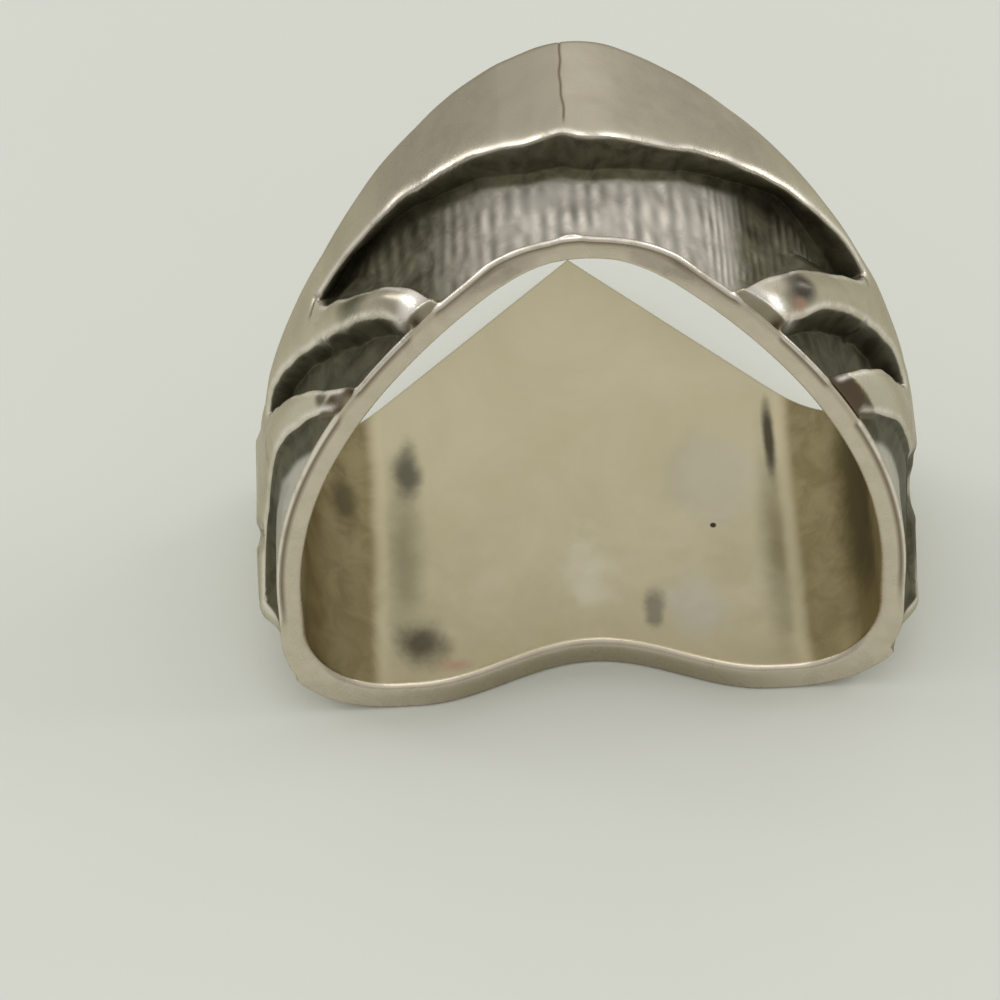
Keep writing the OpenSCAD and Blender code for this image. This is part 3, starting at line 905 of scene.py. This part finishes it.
# %% Dull silver in the hole
def inside_silver():
    """The hole's dull silver: a tan floor, olive sides, partly tarnish and partly painted dark reflection, a
    bright band where they meet that is a painted reflection, and stain marks and painted dark reflections.
    """
    material, tree, shader, place = new_material("hole_silver")
    cloud, fine_cloud = (placed(tree, clouds, Place=place, Scale=scale) for scale in (210.0, 900.0))
    x = node(tree, "ShaderNodeSeparateXYZ", {0: place}).outputs[0]
    frayed = maths(tree, "ADD", x, times(tree, maths(tree, "SUBTRACT", cloud, 0.5), 0.2 * MM))
    aside = maths(tree, "ABSOLUTE", frayed)
    # The sides are darker: tarnish, with painted dark reflection.
    colour = mix_colour(tree, mask_range(tree, aside, 7.1 * MM, 7.7 * MM),
                        mix_colour(tree, cloud, *floor_tones), mix_colour(tree, fine_cloud, *side_tarnish_and_reflection_tones))
    for tone, strength, centre, size, ragged, soft in stains_and_reflections:
        mask = spot(tree, place, centre, size, ragged, soft)
        colour = mix_colour(tree, times(tree, mask, strength), colour, tone)
    # The bright band along each corner of the floor is a painted reflection.
    corner_reflection = times(tree, mask_range(tree, aside, 6.9 * MM, 7.3 * MM),
                      mask_range(tree, aside, 7.3 * MM, 7.8 * MM, 1.0, 0.0))
    colour = mix_colour(tree, times(tree, corner_reflection, 0.4), colour, corner_reflection_tone)
    tree.links.new(colour, shader.inputs["Base Color"])
    shader.inputs["Metallic"].default_value = 1.0
    tree.links.new(maths(tree, "ADD", 0.36, times(tree, fine_cloud, 0.10)), shader.inputs["Roughness"])
    hairs = times(tree, placed(tree, scratches, Place=place), -0.25)
    add_bump(tree, shader, maths(tree, "ADD", hairs, cloud), 0.14)
    return material


silver = [outside_silver(), inside_silver()]
for material in silver:
    print("finish:", material.name, "with", len(material.node_tree.nodes), "nodes")

# %% Make the ring
ring_metal = closed_grid("ring_metal", places, masks, inside_rows, silver)
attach(ring_metal, "root")
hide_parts("ring")

# %% [markdown]
# ## Table, light and camera
# The ring lies on a pale table in a light room. The camera looks down at it steeply, as in the photograph.

# %% The table
table_half = 0.6
table_tones = (0.73, 0.75, 0.705), (0.75, 0.77, 0.725)


def pale_table():
    """A dull, nearly even grey with a hint of green."""
    material, tree, shader, place = new_material("pale_table")
    cloud = placed(tree, clouds, Place=place, Scale=9.0)
    tree.links.new(mix_colour(tree, cloud, *table_tones), shader.inputs["Base Color"])
    shader.inputs["Roughness"].default_value = 0.8
    return material


corners = [(x * table_half, y * table_half, 0) for x, y in ((-1, -1), (1, -1), (1, 1), (-1, 1))]
table_mesh = bpy.data.meshes.new("table")
table_mesh.from_pydata(corners, [], [(0, 1, 2, 3)])
table_mesh.materials.append(pale_table())
table = bpy.data.objects.new("table", table_mesh)
bpy.context.scene.collection.objects.link(table)

# %% The light
# Tones of the room in front of the ring and behind it, each from low down to overhead.
front_tones = (0.42, 0.41, 0.385), (0.80, 0.79, 0.76)
back_tones = (0.50, 0.49, 0.46), (0.74, 0.73, 0.69)
warm_white, pale_white = (1.0, 0.985, 0.95), (1.0, 0.99, 0.96)

world = bpy.data.worlds.new("room")
bpy.context.scene.world = world
world.use_nodes = True
room = world.node_tree
room.nodes.clear()
direction = room.nodes.new("ShaderNodeTexCoord").outputs["Generated"]
_, facing_back, facing_up = node(room, "ShaderNodeSeparateXYZ", {0: direction}).outputs
# It is even and soft all round, a little brighter behind the ring and overhead.
front = mix_colour(room, mask_range(room, facing_up, 0.2, 1.0), *front_tones)
back = mix_colour(room, mask_range(room, facing_up, 0.1, 0.7), *back_tones)
room_tone = mix_colour(room, mask_range(room, facing_back, -0.2, 0.5), front, back)
room_light = node(room, "ShaderNodeBackground", {"Color": room_tone, "Strength": 1.0})
room_out = room.nodes.new("ShaderNodeOutputWorld")
room.links.new(room_light.outputs[0], room_out.inputs[0])


def softbox(name, place, target, size, power, colour=warm_white):
    """A rectangular soft light that faces a point."""
    light = bpy.data.lights.new(name, "AREA")
    light.shape = "RECTANGLE"
    light.size, light.size_y = size
    light.energy = power
    light.color = colour
    lamp = bpy.data.objects.new(name, light)
    lamp.location = place
    lamp.rotation_euler = (Vector(target) - Vector(place)).to_track_quat("-Z", "Y").to_euler()
    bpy.context.scene.collection.objects.link(lamp)


softbox("left_box", (-0.31, 0.06, 0.34), (0, 0, 0.01), (0.18, 0.18), 0.19)
softbox("right_box", (0.31, 0.04, 0.34), (0, 0, 0.01), (0.12, 0.12), 0.20)
softbox("ceiling", (-0.02, -0.02, 0.50), (0, 0, 0), (0.24, 0.20), 0.20, pale_white)

# Two small ones low at the sides make the highlights on the ends of the first tongues.
softbox("left_glint", (-0.35, 0.13, 0.14), (0, 0, 0.016), (0.06, 0.05), 0.06)
softbox("right_glint", (0.37, 0.12, 0.07), (0, 0, 0.016), (0.06, 0.05), 0.06)

# %% The camera
aim = Vector((0, -0.0016, 0.0102))
tilt_down, yaw, roll, distance = math.radians(50), math.radians(1.9), math.radians(1.3), 0.150
sensor, focal = 36, 4.41
level_part = math.cos(tilt_down)
towards = Vector((-level_part * math.sin(yaw), -level_part * math.cos(yaw), math.sin(tilt_down)))
level_right = Vector((math.cos(yaw), -math.sin(yaw), 0))
level_up = towards.cross(level_right)
right = level_right * math.cos(roll) - level_up * math.sin(roll)
up = level_right * math.sin(roll) + level_up * math.cos(roll)
camera_data = bpy.data.cameras.new("camera")
# The focal length is given in widths of the picture.
camera_data.sensor_width, camera_data.lens = sensor, focal * sensor
camera_data.shift_x, camera_data.shift_y = -0.079, -0.168
camera_data.clip_start, camera_data.clip_end = 0.01, 10
camera = bpy.data.objects.new("camera", camera_data)
turned = Matrix((right, up, towards)).transposed().to_4x4()
camera.matrix_world = Matrix.Translation(aim + towards * distance) @ turned
bpy.context.scene.collection.objects.link(camera)
bpy.context.scene.camera = camera
bpy.context.scene.view_settings.view_transform = "Standard"
